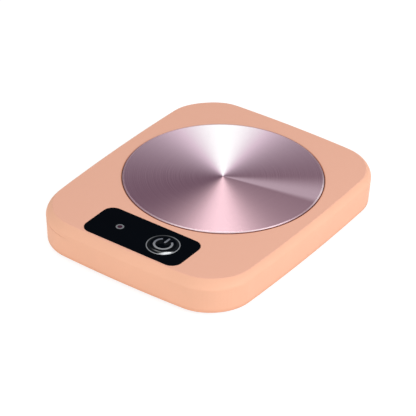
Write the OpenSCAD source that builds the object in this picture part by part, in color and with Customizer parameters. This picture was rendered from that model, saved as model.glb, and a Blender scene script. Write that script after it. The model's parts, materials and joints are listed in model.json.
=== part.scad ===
// Electric mug warmer: a low square-cornered housing with a round hot plate, a black control
// panel with a push button and an indicator, and a round DC inlet in the rear wall.
// Millimetres. The origin is the middle of the footprint, on the surface that the feet stand on.
// +Z is up and the control panel is at the front, towards -Y.

/* [Housing] */
// Width of the housing, side to side
body_w = 107.5; // [104:0.5:124]
// Depth of the housing, front to back
body_d = 132.5; // [130:0.5:150]
// Height of the housing, from its underside to its top face
body_h = 15.5; // [15:0.1:18]
// Radius of the four corners, seen from above
corner_r = 24; // [18:1:28]
// Radius along the top edge
top_edge_r = 2.6; // [0.6:0.1:2.8]
// Radius along the bottom edge
low_edge_r = 0.5; // [0.4:0.1:1.6]
// Thickness of the side walls
wall_t = 2; // [1.8:0.1:2.4]
// Thickness of the top deck
deck_t = 2; // [1.8:0.1:2.4]
// Thickness of the floor
floor_t = 2; // [1.6:0.1:2.4]
// Height of the parting line above the underside
seam_h = 10.4; // [10.2:0.1:11]
// Open gap at the parting line
seam_gap = 0.2; // [0.1:0.05:0.4]
// Height of the lip that closes the parting line from inside
lip_h = 1.4; // [0.8:0.1:1.8]
// Thickness of the lip
lip_t = 0.8; // [0.6:0.1:1]
// Clearance round the lip
lip_clearance = 0.15; // [0.05:0.05:0.3]

/* [Hot plate] */
// Diameter of the hot plate
plate_d = 90; // [80:1:91]
// Thickness of the hot plate
plate_t = 1.2; // [0.8:0.1:1.4]
// Height of the hot plate over the top face
plate_proud = 0.6; // [0:0.1:0.8]
// Bevel round the top of the hot plate
plate_bevel = 0.3; // [0.1:0.1:0.5]
// Open gap round the hot plate
plate_gap = 0.4; // [0.2:0.1:0.8]
// Web of the top deck between the hot plate's opening and the control panel
plate_web = 2.85; // [1.2:0.05:3]
// Thickness of the gasket under the hot plate's rim
gasket_t = 0.8; // [0.5:0.1:1]
// How far the ledge reaches in under the hot plate
ledge_reach = 3.5; // [2.5:0.1:5]
// Thickness of the ledge
ledge_t = 2; // [1.5:0.1:2.2]
// Wall of the ring that carries the ledge
ledge_wall = 2.1; // [1.5:0.1:2.5]
// Diameter of the heating element
element_d = 76; // [60:1:76]
// Thickness of the heating element
element_t = 0.8; // [0.5:0.1:1]
// Diameter of the insulation pad
pad_d = 80; // [62:1:80]
// Thickness of the clamp plate
clamp_t = 0.8; // [0.6:0.1:1]
// How far the clamp plate reaches out under the ledge
clamp_reach = 3; // [2:0.1:4]
// Circle of the studs that pull the hot plate down
stud_circle_d = 56; // [50:1:60]
// Number of studs
stud_count = 3; // [3:1:4]

/* [Temperature control] */
// Diameter of the temperature sensor's case
sensor_d = 5.6; // [4:0.2:6]
// Length of the sensor's bracket
bracket_l = 22; // [20:1:26]
// Width of the sensor's bracket
bracket_w = 7; // [6:0.5:8]
// Thickness of the bracket and of the cut-out's clip
strap_t = 0.6; // [0.4:0.1:0.8]
// Diameter of the thermal cut-out
cutout_d = 4; // [3:0.2:4.4]
// Length of the thermal cut-out
cutout_l = 12; // [10:0.5:13]
// Distance from the hot plate's centre forward to the cut-out
cutout_forward = 22.9; // [21:0.1:24]

/* [Control panel] */
// Width of the control panel
panel_w = 50.8; // [50:0.1:56]
// Depth of the control panel, front to back
panel_d = 22.2; // [20:0.1:24]
// Corner radius of the control panel
panel_r = 4.9; // [2:0.1:6]
// Thickness of the control panel
panel_t = 1; // [0.8:0.1:1.1]
// Thickness of the adhesive sheet under it
adhesive_t = 0.2; // [0.1:0.05:0.25]
// Clearance round the control panel
panel_clearance = 0.1; // [0.05:0.05:0.3]
// Place of the control panel's centre, to the right of the middle
panel_x = -0.7; // [-2:0.1:2]
// Distance from the front of the housing to the control panel's centre
panel_setback = 16.4; // [15.5:0.1:18]
// Half the distance from the indicator to the button
control_offset = 11.6; // [11.5:0.1:12.6]
// Place of the point midway between them, to the right of the control panel's centre
control_shift = -0.3; // [-0.3:0.1:0.3]

/* [Power button] */
// Diameter of the button's cap
cap_d = 13.8; // [12.6:0.1:14]
// Diameter of the cap's flat top
cap_top_d = 11.2; // [10:0.1:11.6]
// Height of the cap over the control panel
cap_proud = 0.6; // [0.3:0.1:1]
// Travel of the button
press_travel = 0.5; // [0.2:0.1:0.6]
// Clearance under the cap when it is fully pressed
press_clearance = 0.3; // [0.1:0.1:0.4]
// Width of the bezel round the cap
bezel_w = 0.45; // [0.3:0.05:0.8]
// Clearance between the cap and the bezel
cap_clearance = 0.1; // [0.05:0.05:0.2]
// Diameter of the stem under the cap
stem_d = 10.8; // [9.6:0.1:11]
// Wall of the stem
stem_wall = 1; // [0.8:0.1:1.4]
// Clearance of the stem in its guide
guide_clearance = 0.08; // [0.04:0.02:0.2]
// Length of the guide below the top deck
guide_l = 1.2; // [0.8:0.1:1.6]
// How far the stem's hooks reach out
hook_reach = 0.8; // [0.4:0.1:1]
// Height of the stem's hooks
hook_h = 0.7; // [0.5:0.1:0.8]
// Radius of the power symbol, at the middle of its line
symbol_r = 3.9; // [3:0.1:4.2]
// Width of the power symbol's line
symbol_line = 0.95; // [0.6:0.05:1.2]
// Opening of the power symbol's arc, in degrees
symbol_opening = 76; // [50:2:100]

/* [Indicator] */
// Diameter of the indicator's lens
lens_d = 2.1; // [1.6:0.1:2.4]
// Width of the bezel round the lens
lens_bezel_w = 0.75; // [0.4:0.05:1]
// Diameter of the light emitting diode
led_d = 3; // [2.6:0.1:3.2]
// Height of the spacer under the diode
led_spacer_h = 1.7; // [1:0.1:2.5]

/* [Circuit board] */
// Width of the circuit board
board_w = 54; // [53:1:58]
// Depth of the circuit board
board_d = 22; // [21.6:0.1:23]
// Thickness of the circuit board
board_t = 1.6; // [1:0.1:1.6]
// Distance from the top deck down to the circuit board
board_drop = 6.7; // [6.5:0.1:7]
// Distance from the side of the circuit board to its screws
board_screw_inset_x = 3; // [2.5:0.1:3.6]
// Distance from the front or back of the circuit board to its screws
board_screw_inset_y = 1.9; // [1.8:0.05:2.2]
// Side of the push switch
switch_w = 6; // [5:0.5:6.5]
// Height of the push switch
switch_h = 3.5; // [3.2:0.1:3.6]
// Height of the switch's plunger over the switch
plunger_h = 1.4; // [1.2:0.1:1.5]
// Height of the lead connectors
connector_h = 4; // [3:0.1:4.2]

/* [Power inlet] */
// Place of the inlet, to the right of the middle
inlet_x = -22; // [-24:0.5:-20]
// Width of the inlet
inlet_w = 8.6; // [8.2:0.1:9.4]
// Height of the inlet
inlet_h = 7.6; // [7.6:0.1:8]
// Length of the inlet inside the wall
inlet_l = 13.2; // [12.5:0.1:14]
// Diameter of the inlet's nose, which shows in the wall
nose_d = 7.3; // [7:0.1:7.4]
// Clearance round the inlet
inlet_clearance = 0.15; // [0.05:0.05:0.25]
// Diameter of the socket
socket_d = 5.7; // [5.5:0.05:5.9]
// Depth of the socket
socket_depth = 9.5; // [9:0.1:10]
// Diameter of the socket's centre pin
pin_d = 2.1; // [1.9:0.1:2.5]

/* [Base] */
// Height of the feet
foot_h = 1.5; // [1:0.1:3]
// Diameter of the feet
foot_d = 11; // [8:0.5:11]
// Depth of the recess that each foot is glued in
foot_recess = 0.8; // [0.4:0.1:1]
// Distance from the side of the housing to the feet
foot_inset_x = 13; // [12:0.5:15]
// Distance from the front or back of the housing to the feet
foot_inset_y = 23.5; // [23.5:0.5:28]
// Distance from the side of the housing to the screws
screw_inset_x = 12; // [11.5:0.5:13]
// Distance from the front or back of the housing to the screws
screw_inset_y = 13.5; // [12.5:0.5:13.5]
// Diameter of the housing screws
screw_d = 2.6; // [2.2:0.1:3]
// Width of the vent slots
vent_w = 2.2; // [1.5:0.1:3]
// Length of the vent slots
vent_l = 34; // [20:1:40]
// Number of vent slots
vent_count = 9; // [5:2:11]
// Distance from one vent slot to the next
vent_pitch = 6; // [5:0.5:7]
// Width of the blank rating label
label_w = 40; // [30:1:44]
// Depth of the blank rating label
label_d = 18; // [12:1:20]
// Thickness of the label
label_t = 0.2; // [0.1:0.05:0.3]

/* [Hidden] */

$fn = 96;
cut = 1; // how far a cutting shape runs past a face

// heights of the housing
z_under = foot_h;
z_floor = z_under + floor_t;
z_seam = z_under + seam_h;
z_top = z_under + body_h;
z_deck = z_top - deck_t;

// the panel's place, and the hot plate's place behind it
panel_y = -body_d / 2 + panel_setback;
plate_r = plate_d / 2;
opening_r = plate_r + plate_gap;
plate_y = panel_y + panel_d / 2 + plate_web + opening_r;

// heights of the hot plate's stack, from the top down
z_plate_top = z_top + plate_proud;
z_plate_under = z_plate_top - plate_t;
z_ledge_top = z_plate_under - gasket_t;
z_ledge_under = z_ledge_top - ledge_t;
z_element_under = z_plate_under - element_t;
z_clamp_under = z_ledge_under - clamp_t;
ledge_r = plate_r - ledge_reach;
ledge_ring_r = opening_r + ledge_wall;
clamp_r = ledge_r + clamp_reach;
gasket_play = 0.2; // between the gasket and the walls beside it

// studs, washers and nuts, of the M3 size
stud_r = 1.5;
stud_play = 0.2;
stud_end = 0.5; // length of stud below its nut
washer_r = 3.5;
washer_t = 0.5;
nut_flats = 5.5;
nut_t = 2.4;
stud_turn = 90;
z_washer_under = z_clamp_under - washer_t;
z_nut_under = z_washer_under - nut_t;

// straps, rivets, sensor and cut-out under the clamp plate
z_strap_under = z_clamp_under - strap_t;
rivet_r = 1.15;
rivet_play = 0.1;
rivet_head_r = 2;
rivet_head_h = 0.6;
bracket_rivet_inset = 3;
bracket_rivet_x = bracket_l / 2 - bracket_rivet_inset;
sensor_play = 0.4;
sensor_lead_hole_r = 1;
cutout_y = plate_y - cutout_forward;
z_cutout = z_clamp_under - cutout_d / 2;
cutout_play = 0.05;
clip_w = 4;
clip_foot = 5;
clip_rivet_y = cutout_d / 2 + strap_t + clip_foot / 2;
cutout_wire_r = 0.5;
cutout_wire_l = 1.5;
cutout_end = cutout_l / 2 + cutout_wire_l;
terminal_x = [8, 14]; // the heating element's two terminals
terminal_forward = 30.9; // from the hot plate's centre forward to them
terminal_y = plate_y - terminal_forward;
terminal_hole_r = 2;

// the control panel's recess and its controls
z_web = z_top - panel_t - adhesive_t;
adhesive_edge = 0.5; // the adhesive stays this far inside the panel
button_x = panel_x + control_shift + control_offset;
led_x = panel_x + control_shift - control_offset;
cap_r = cap_d / 2;
bezel_in_r = cap_r + cap_clearance;
bezel_out_r = bezel_in_r + bezel_w;
bezel_play = 0.05;
bezel_proud = 0.05;
z_cap_under = z_web + press_travel + press_clearance;
z_cap_top = z_top + cap_proud;
cap_steps = 6; // facets of the cap's rounded bevel
stem_r = stem_d / 2;
guide_r = stem_r + guide_clearance;
guide_wall = 1.5;
z_guide_under = z_deck - guide_l;
hook_play = 0.1;
z_hook_top = z_guide_under - hook_play;
z_hook_under = z_hook_top - hook_h;
slot_w = 1.4; // the two slots that let the stem's hooks spring in
post_r = 1.6; // the post inside the stem that presses the switch
symbol_depth = 0.3;
bar_in = 0.9; // inner and outer end of the symbol's bar, from its centre
bar_out = 4.9;
lens_r = lens_d / 2;
lens_play = 0.05;
lens_bezel_r = lens_r + lens_play + lens_bezel_w;
led_r = led_d / 2;
led_flange_r = led_r + 0.4;
led_flange_h = 0.9;
led_hole_play = 0.2;
led_top_gap = 0.3; // from the diode's top up to the recess floor
z_led_top = z_web - led_top_gap;

// the circuit board and what stands on it
z_board = z_deck - board_drop;
z_board_under = z_board - board_t;
post_d = 5.2; // the posts that hang from the deck and carry the board
board_hole_r = 1.1;
board_shank_r = 0.9;
board_shank_play = 0.05;
board_shank_l = 4.8; // length of screw inside the post
board_head_r = 1.9;
board_head_h = 1.2;
plunger_r = 1.7;
plunger_play = 0.12;
plunger_in = 0.5; // length of the plunger inside the switch
z_switch_top = z_board + switch_h;
z_plunger_top = z_switch_top + plunger_h;
connector_back = 0.3; // from the board's back edge to the connectors
connector_d = 5.2;
board_back_y = panel_y + board_d / 2;
connector_y = board_back_y - connector_back - connector_d / 2;
connector_face_y = board_back_y - connector_back;
power_connector_x = panel_x - board_w / 2 + 10.6;
power_connector_w = 7;
heater_connector_x = -4;
heater_connector_w = 8;
heater_pin_pitch = 5;
sensor_connector_x = panel_x + board_w / 2 - 12.4;
sensor_connector_w = 5;
z_lead_exit = z_board + connector_h / 2;
chip_place = [-4.4, -6.4]; // places on the board are measured from its middle
chip_w = 6.4;
chip_h = 1.2;
transistor_place = [-19.9, -2];
transistor_size = [6.4, 5.8, 2.3];
capacitor_place = [3.6, -7.2];
capacitor_r = 2.5;
capacitor_h = 5;
resistor_place = [-7.4, 2]; // of the first resistor in the row
resistor_size = [1.2, 2, 0.6];
resistor_count = 5;
resistor_pitch = 3;

// the power inlet
y_back = body_d / 2;
y_back_inside = y_back - wall_t;
z_inlet = z_floor + inlet_h / 2;
y_inlet_front = y_back_inside - inlet_clearance;
y_inlet_back = y_inlet_front - inlet_l;
nose_recess = 0.6;
y_nose = y_back - nose_recess;
nose_hole_r = nose_d / 2 + inlet_clearance;
socket_r = socket_d / 2;
y_socket_end = y_nose - socket_depth;
pin_r = pin_d / 2;
pin_setback = 1; // from the nose's face in to the pin's tip
pin_tip = 0.3;
pin_root_r = pin_r + 0.3;
pin_root_l = 3;
tag_w = 2;
tag_t = 0.5;
tag_l = 2.6; // length of tag behind the inlet
leaf_t = 0.3;
leaf_w = 2;
leaf_dip = 0.2; // how far the leaf reaches into the socket
leaf_front = 2; // from the nose's face to the leaf's end
cradle_t = 1.5;
cradle_h = 5.5;
back_stop_h = 2;
hold_down_w = 6;

// housing screws, their bosses, and the feet
screw_x = body_w / 2 - screw_inset_x;
screw_y = body_d / 2 - screw_inset_y;
screw_r = screw_d / 2;
screw_play = 0.3;
thread_play = 0.05;
screw_head_r = 2.4;
screw_head_h = 1.5;
head_hole_r = 3.2;
head_hole_depth = 2.5;
boss_join = 4.5; // height over the floor at which the two bosses meet
low_boss_r = 4;
top_boss_r = 3.6;
thread_l = 4.5; // length of screw in the top boss
thread_spare = 0.5;
z_boss_join = z_floor + boss_join;
z_head_seat = z_under + head_hole_depth;
cross_w = 0.7; // the screwdriver's cross
cross_l = 2.6;
cross_depth = 0.8;
foot_x = body_w / 2 - foot_inset_x;
foot_y = body_d / 2 - foot_inset_y;
foot_play = 0.1;
foot_bevel = 0.4;
label_y = panel_y + board_d / 2 + 0.3;
label_corner_r = 1.5;
label_play = 0.1;

// radii of the leads, the spacing of their rings, and their routes
power_lead_r = 1.5;
heater_lead_r = 0.8;
sensor_lead_r = 0.7;
lead_sides = 8;
lead_straight = 3;
lead_wall_x = -body_w / 2 + 12.5;
power_route = [
    [power_connector_x, connector_face_y, z_lead_exit],
    [power_connector_x, connector_face_y + lead_straight, z_lead_exit],
    [-21, -29, 7.2], [lead_wall_x + 10, -20, 5.3], [lead_wall_x + 2, -5, 5.1],
    [lead_wall_x, 12, 5.1], [lead_wall_x + 3, 30, 5.1], [lead_wall_x + 13, 40, 6.5],
    [inlet_x, y_inlet_back - tag_l - lead_straight, z_inlet + 1.6],
    [inlet_x, y_inlet_back - tag_l, z_inlet + 1.6]
];
heater_route_a = [
    [heater_connector_x + heater_pin_pitch / 2, connector_face_y, z_lead_exit],
    [heater_connector_x + heater_pin_pitch / 2, connector_face_y + lead_straight, z_lead_exit],
    [3, -27.5, 9.5], [terminal_x[0], terminal_y, z_clamp_under - 0.8],
    [terminal_x[0], terminal_y, z_element_under]
];
heater_route_b = [
    [heater_connector_x - heater_pin_pitch / 2, connector_face_y, z_lead_exit],
    [heater_connector_x - heater_pin_pitch / 2, connector_face_y + lead_straight, z_lead_exit],
    [-11, -27, 9.5], [-13, -17, 9.9],
    [-cutout_end - 2, cutout_y, z_cutout],
    [-cutout_end, cutout_y, z_cutout]
];
heater_route_c = [
    [cutout_end, cutout_y, z_cutout], [cutout_end + 2, cutout_y, z_cutout],
    [terminal_x[1], terminal_y + 3, 10.3], [terminal_x[1], terminal_y, z_clamp_under - 0.4],
    [terminal_x[1], terminal_y, z_element_under]
];
sensor_route = [
    [sensor_connector_x, connector_face_y, z_lead_exit],
    [sensor_connector_x, connector_face_y + lead_straight, z_lead_exit],
    [14.5, -29, 8.3], [13, -19, 6.9], [7.5, -6, 6.5], [2, 4, 7.3],
    [0, plate_y, z_strap_under - 1.6], [0, plate_y, z_strap_under + strap_t]
];

// ---- shapes that several pieces use ----

// half of a block's cross-section, from its middle out to its rounded side
module block_profile(half, low, high, top_r, low_r) {
    translate([0, low + low_r]) square([half, high - low - top_r - low_r]);
    if (top_r > 0) {
        translate([0, high - top_r]) square([half - top_r, top_r]);
        translate([half - top_r, high - top_r]) circle(top_r);
    }
    if (low_r > 0) {
        translate([0, low]) square([half - low_r, low_r]);
        translate([half - low_r, low + low_r]) circle(low_r);
    }
}

// a bar along X with that cross-section on both sides
module profile_bar(length, half, low, high, top_r, low_r) {
    rotate([90, 0, 90]) linear_extrude(length, center = true) {
        block_profile(half, low, high, top_r, low_r);
        mirror([1, 0]) block_profile(half, low, high, top_r, low_r);
    }
}

// a block with round corners, and if asked a round top edge and a round bottom edge
module rounded_block(w, d, r, low, high, top_r = 0, low_r = 0) {
    profile_bar(w - 2 * r, d / 2, low, high, top_r, low_r);
    rotate([0, 0, 90]) profile_bar(d - 2 * r, w / 2, low, high, top_r, low_r);
    for (side = [-1, 1], end = [-1, 1]) {
        translate([side * (w / 2 - r), end * (d / 2 - r), 0])
            rotate_extrude() block_profile(r, low, high, top_r, low_r);
    }
}

// the housing's outline, drawn in by an even distance
module housing_block(inset, low, high, top_r = 0, low_r = 0) {
    rounded_block(body_w - 2 * inset, body_d - 2 * inset, corner_r - inset,
        low, high, top_r, low_r);
}

module disc(r, low, high) {
    translate([0, 0, low]) cylinder(r = r, h = high - low);
}

module tube(outer_r, inner_r, low, high) {
    difference() {
        disc(outer_r, low, high);
        disc(inner_r, low - cut, high + cut);
    }
}

module box(w, d, low, high) {
    translate([-w / 2, -d / 2, low]) cube([w, d, high - low]);
}

// a slot with round ends along Y
module slot(w, l, low, high) {
    box(w, l - w, low, high);
    for (end = [-1, 1]) translate([0, end * (l - w) / 2, 0]) disc(w / 2, low, high);
}

// a disc or rod along +Y, from one place to another
module rod_y(r, from, to) {
    translate([0, from, 0]) rotate([-90, 0, 0]) cylinder(r = r, h = to - from);
}

module at_plate() {
    translate([0, plate_y, 0]) children();
}

module at_studs() {
    at_plate() for (i = [0 : stud_count - 1])
        rotate([0, 0, stud_turn + i * 360 / stud_count])
            translate([stud_circle_d / 2, 0, 0]) children();
}

module at_screws() {
    for (side = [-1, 1], end = [-1, 1])
        translate([side * screw_x, end * screw_y, 0]) children();
}

module at_feet() {
    for (side = [-1, 1], end = [-1, 1])
        translate([side * foot_x, end * foot_y, 0]) children();
}

module at_board_screws() {
    for (side = [-1, 1], end = [-1, 1])
        translate([panel_x + side * (board_w / 2 - board_screw_inset_x),
            panel_y + end * (board_d / 2 - board_screw_inset_y), 0]) children();
}

module at_board(place) {
    translate([panel_x + place[0], panel_y + place[1], 0]) children();
}

module at_button() {
    translate([button_x, panel_y, 0]) children();
}

module at_led() {
    translate([led_x, panel_y, 0]) children();
}

module at_inlet() {
    translate([inlet_x, 0, z_inlet]) children();
}

// the rivets of the sensor's bracket, then those of the cut-out's clip
module at_rivets() {
    at_plate() for (side = [-1, 1]) translate([side * bracket_rivet_x, 0, 0]) children();
    translate([0, cutout_y, 0]) for (end = [-1, 1])
        translate([0, end * clip_rivet_y, 0]) children();
}

// the holes that the stack under the hot plate shares
module stack_holes(low, high) {
    at_studs() disc(stud_r + stud_play, low - cut, high + cut);
    at_plate() disc(sensor_d / 2 + sensor_play, low - cut, high + cut);
    for (x = terminal_x) translate([x, terminal_y, 0])
        disc(terminal_hole_r, low - cut, high + cut);
}

// the cross of a screwdriver slot, cut up into a screw's head
module driver_cross(low) {
    box(cross_w, cross_l, low - cut, low + cross_depth);
    box(cross_l, cross_w, low - cut, low + cross_depth);
}

// ---- leads, each one tube swept along a smooth curve through its route ----

function unit(v) = v / norm(v);
function square_to(v, along) = unit(v - along * (v * along));
function pick(route, i) = route[min(max(i, 0), len(route) - 1)];
function curve_point(a, b, c, d, t) =
    0.5 * (2 * b + (c - a) * t + (2 * a - 5 * b + 4 * c - d) * t * t
    + (3 * b - a - 3 * c + d) * t * t * t);
function smooth_route(route, steps) = [
    for (i = [0 : len(route) - 2], s = [0 : steps - 1])
        curve_point(pick(route, i - 1), route[i], route[i + 1], pick(route, i + 2), s / steps),
    route[len(route) - 1]
];
// the two ends are cut square to the axis that they run along
function nearest_axis(v) = [for (c = v) abs(c) == max([for (k = v) abs(k)]) ? sign(c) : 0];
function directions(path) = [
    for (i = [0 : len(path) - 1])
        let (along = unit(pick(path, i + 1) - pick(path, i - 1)))
        i == 0 || i == len(path) - 1 ? nearest_axis(along) : along
];
function carried_sides(along, side, i = 0) = i == len(along) ? [] :
    let (here = square_to(side, along[i])) concat([here], carried_sides(along, here, i + 1));

module lead(route, r, steps) {
    path = smooth_route(route, steps);
    along = directions(path);
    sides = carried_sides(along, [1, 0.2, 0.1]);
    n = lead_sides;
    points = [
        for (i = [0 : len(path) - 1], k = [0 : n - 1])
            path[i] + r * (cos(360 * k / n) * sides[i]
            + sin(360 * k / n) * cross(along[i], sides[i]))
    ];
    walls = [
        for (i = [0 : len(path) - 2], k = [0 : n - 1], half = [0, 1])
            let (a = i * n + k, b = i * n + (k + 1) % n)
            half == 0 ? [a, a + n, b] : [b, a + n, b + n]
    ];
    first = [for (k = [0 : n - 1]) k];
    last = [for (k = [n - 1 : -1 : 0]) (len(path) - 1) * n + k];
    polyhedron(points, concat(walls, [first], [last]));
}

// ---- housing ----

module top_shell() {
    difference() {
        housing_block(0, z_seam + seam_gap, z_top, top_r = top_edge_r);
        housing_block(wall_t, z_seam - cut, z_deck);
        housing_block(wall_t - lip_t - lip_clearance, z_seam - cut,
            z_seam + lip_h + lip_clearance);
    }
    at_plate() disc(ledge_ring_r, z_ledge_under, z_deck);
    at_screws() disc(top_boss_r, z_boss_join, z_deck);
    at_board_screws() disc(post_d / 2, z_board, z_deck);
    at_button() disc(guide_r + guide_wall, z_guide_under, z_deck);
    translate([inlet_x, y_inlet_front - inlet_l / 2, 0])
        box(hold_down_w, cradle_t, z_floor + inlet_h + inlet_clearance, z_deck);
}

module top_housing() {
    color("#E6B199") difference() {
        top_shell();
        at_plate() disc(opening_r, z_ledge_top, z_top + cut);
        at_plate() disc(ledge_r, z_ledge_under - cut, z_top + cut);
        translate([panel_x, panel_y, 0])
            rounded_block(panel_w + 2 * panel_clearance, panel_d + 2 * panel_clearance,
                panel_r + panel_clearance, z_web, z_top + cut);
        at_button() disc(guide_r, z_guide_under - cut, z_web + cut);
        at_led() disc(led_r + led_hole_play, z_deck - cut, z_web + cut);
        at_screws() disc(screw_r + thread_play, z_boss_join - cut,
            z_boss_join + thread_l + thread_spare);
        at_board_screws() disc(board_shank_r + board_shank_play, z_board - cut,
            z_board + board_shank_l + thread_spare);
    }
}

module bottom_shell() {
    difference() {
        union() {
            housing_block(0, z_under, z_seam, low_r = low_edge_r);
            housing_block(wall_t - lip_t, z_seam - cut, z_seam + lip_h);
        }
        housing_block(wall_t, z_floor, z_seam + lip_h + cut);
    }
    at_screws() disc(low_boss_r, z_floor - cut, z_boss_join);
    for (side = [-1, 1])
        translate([inlet_x + side * (inlet_w / 2 + inlet_clearance + cradle_t / 2),
            y_back_inside + cut / 2 - (inlet_l - 2) / 2, 0])
            box(cradle_t, inlet_l - 2 + cut, z_floor - cut, z_floor + cradle_h);
    translate([inlet_x, y_inlet_back - inlet_clearance - cradle_t / 2, 0])
        box(inlet_w, cradle_t, z_floor - cut, z_floor + back_stop_h);
}

module bottom_housing() {
    color("#E2AA90") difference() {
        bottom_shell();
        at_screws() disc(screw_r + screw_play, z_under - cut, z_boss_join + cut);
        at_screws() disc(head_hole_r, z_under - cut, z_head_seat);
        at_feet() disc(foot_d / 2 + foot_play, z_under - cut, z_under + foot_recess);
        translate([0, label_y, 0])
            rounded_block(label_w + 2 * label_play, label_d + 2 * label_play,
                label_corner_r + label_play, z_under - cut, z_under + label_t);
        at_plate() for (i = [0 : vent_count - 1])
            translate([(i - (vent_count - 1) / 2) * vent_pitch, 0, 0])
                slot(vent_w, vent_l, z_under - cut, z_floor + cut);
        at_inlet() rod_y(nose_hole_r, y_back_inside - cut, y_back + cut);
    }
}

module housing_screws() {
    color("#8E9196") at_screws() difference() {
        union() {
            disc(screw_head_r, z_head_seat - screw_head_h, z_head_seat);
            disc(screw_r, z_head_seat, z_boss_join + thread_l);
        }
        driver_cross(z_head_seat - screw_head_h);
    }
}

module rubber_feet() {
    color("#2A2A2C") at_feet() {
        disc(foot_d / 2, foot_bevel, z_under + foot_recess);
        cylinder(r1 = foot_d / 2 - foot_bevel, r2 = foot_d / 2, h = foot_bevel);
    }
}

module rating_label() {
    color("#C9CACC") translate([0, label_y, 0])
        rounded_block(label_w, label_d, label_corner_r, z_under, z_under + label_t);
}

// ---- hot plate ----

module hot_plate() {
    color("#9A8491") at_plate() {
        disc(plate_r, z_plate_under, z_plate_top - plate_bevel);
        translate([0, 0, z_plate_top - plate_bevel])
            cylinder(r1 = plate_r, r2 = plate_r - plate_bevel, h = plate_bevel);
    }
}

module plate_studs() {
    color("#A9ABAF") at_studs() disc(stud_r, z_nut_under - stud_end, z_plate_under);
}

module plate_gasket() {
    color("#D8D4CC") at_plate()
        tube(opening_r - gasket_play, ledge_r + gasket_play, z_ledge_top, z_plate_under);
}

module heating_element() {
    color("#B7793F") difference() {
        at_plate() disc(element_d / 2, z_element_under, z_plate_under);
        at_studs() disc(stud_r + stud_play, z_element_under - cut, z_plate_under + cut);
        at_plate() disc(sensor_d / 2 + sensor_play, z_element_under - cut, z_plate_under + cut);
    }
}

module insulation_pad() {
    color("#EDEAE2") difference() {
        at_plate() disc(pad_d / 2, z_ledge_under, z_element_under);
        stack_holes(z_ledge_under, z_element_under);
    }
}

module clamp_plate() {
    color("#B4B6B9") difference() {
        at_plate() disc(clamp_r, z_clamp_under, z_ledge_under);
        stack_holes(z_clamp_under, z_ledge_under);
        at_rivets() disc(rivet_r + rivet_play, z_clamp_under - cut, z_ledge_under + cut);
    }
}

module plate_washers() {
    color("#C2C4C7") at_studs()
        tube(washer_r, stud_r + stud_play, z_washer_under, z_clamp_under);
}

module plate_nuts() {
    color("#9C9EA2") at_studs() difference() {
        translate([0, 0, z_nut_under])
            cylinder(r = nut_flats / 2 / cos(30), h = nut_t, $fn = 6);
        disc(stud_r + thread_play, z_nut_under - cut, z_washer_under + cut);
    }
}

// ---- temperature control ----

module temperature_sensor() {
    color("#6E7074") at_plate() difference() {
        disc(sensor_d / 2, z_clamp_under, z_plate_under);
        disc(sensor_lead_hole_r, z_clamp_under - cut, z_clamp_under + cut);
    }
}

module sensor_bracket() {
    color("#C2C4C7") difference() {
        at_plate() box(bracket_l, bracket_w, z_strap_under, z_clamp_under);
        at_plate() disc(sensor_lead_hole_r, z_strap_under - cut, z_clamp_under + cut);
        at_rivets() disc(rivet_r + rivet_play, z_strap_under - cut, z_clamp_under + cut);
    }
}

module thermal_cutout() {
    color("#D9D6CF") translate([0, cutout_y, z_cutout]) rotate([0, 0, -90]) {
        rod_y(cutout_d / 2, -cutout_l / 2, cutout_l / 2);
        rod_y(cutout_wire_r, -cutout_end, cutout_end);
    }
}

module cutout_clip() {
    loop_r = cutout_d / 2 + cutout_play;
    color("#C2C4C7") translate([0, cutout_y, 0]) difference() {
        union() {
            translate([0, 0, z_cutout]) rotate([0, 0, -90])
                rod_y(loop_r + strap_t, -clip_w / 2, clip_w / 2);
            box(clip_w, 2 * (loop_r + strap_t), z_cutout, z_clamp_under);
            box(clip_w, 2 * (clip_rivet_y + clip_foot / 2), z_strap_under, z_clamp_under);
        }
        translate([0, 0, z_cutout]) rotate([0, 0, -90]) rod_y(loop_r, -clip_w, clip_w);
        box(2 * clip_w, 2 * loop_r, z_cutout, z_clamp_under + cut);
        for (end = [-1, 1]) translate([0, end * clip_rivet_y, 0])
            disc(rivet_r + rivet_play, z_strap_under - cut, z_clamp_under + cut);
    }
}

module strap_rivets() {
    color("#D0D2D5") at_rivets() {
        disc(rivet_r, z_strap_under, z_ledge_under);
        disc(rivet_head_r, z_strap_under - rivet_head_h, z_strap_under);
    }
}

// ---- control panel, button and indicator ----

module control_panel() {
    color("#05070C") difference() {
        translate([panel_x, panel_y, 0])
            rounded_block(panel_w, panel_d, panel_r, z_web + adhesive_t, z_top);
        at_button() disc(bezel_out_r + bezel_play, z_web - cut, z_top + cut);
        at_led() disc(lens_bezel_r + bezel_play, z_web - cut, z_top + cut);
    }
}

module panel_adhesive() {
    color("#D9D4C4") difference() {
        translate([panel_x, panel_y, 0])
            rounded_block(panel_w - 2 * adhesive_edge, panel_d - 2 * adhesive_edge,
                panel_r - adhesive_edge, z_web, z_web + adhesive_t);
        at_button() disc(bezel_out_r + adhesive_edge, z_web - cut, z_top);
        at_led() disc(lens_bezel_r + adhesive_edge, z_web - cut, z_top);
    }
}

module button_bezel() {
    color("#8A8C90") at_button() tube(bezel_out_r, bezel_in_r, z_web, z_top + bezel_proud);
}

// the arc and the bar of the power symbol, cut or filled from the cap's top down
module symbol_shape(low, high) {
    difference() {
        tube(symbol_r + symbol_line / 2, symbol_r - symbol_line / 2, low, high);
        linear_extrude(4 * high, center = true) polygon([
            [0, 0],
            2 * cap_r * [-sin(symbol_opening / 2), cos(symbol_opening / 2)],
            2 * cap_r * [sin(symbol_opening / 2), cos(symbol_opening / 2)]
        ]);
    }
    translate([0, (bar_in + bar_out) / 2, 0]) slot(symbol_line, bar_out - bar_in, low, high);
}

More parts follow.
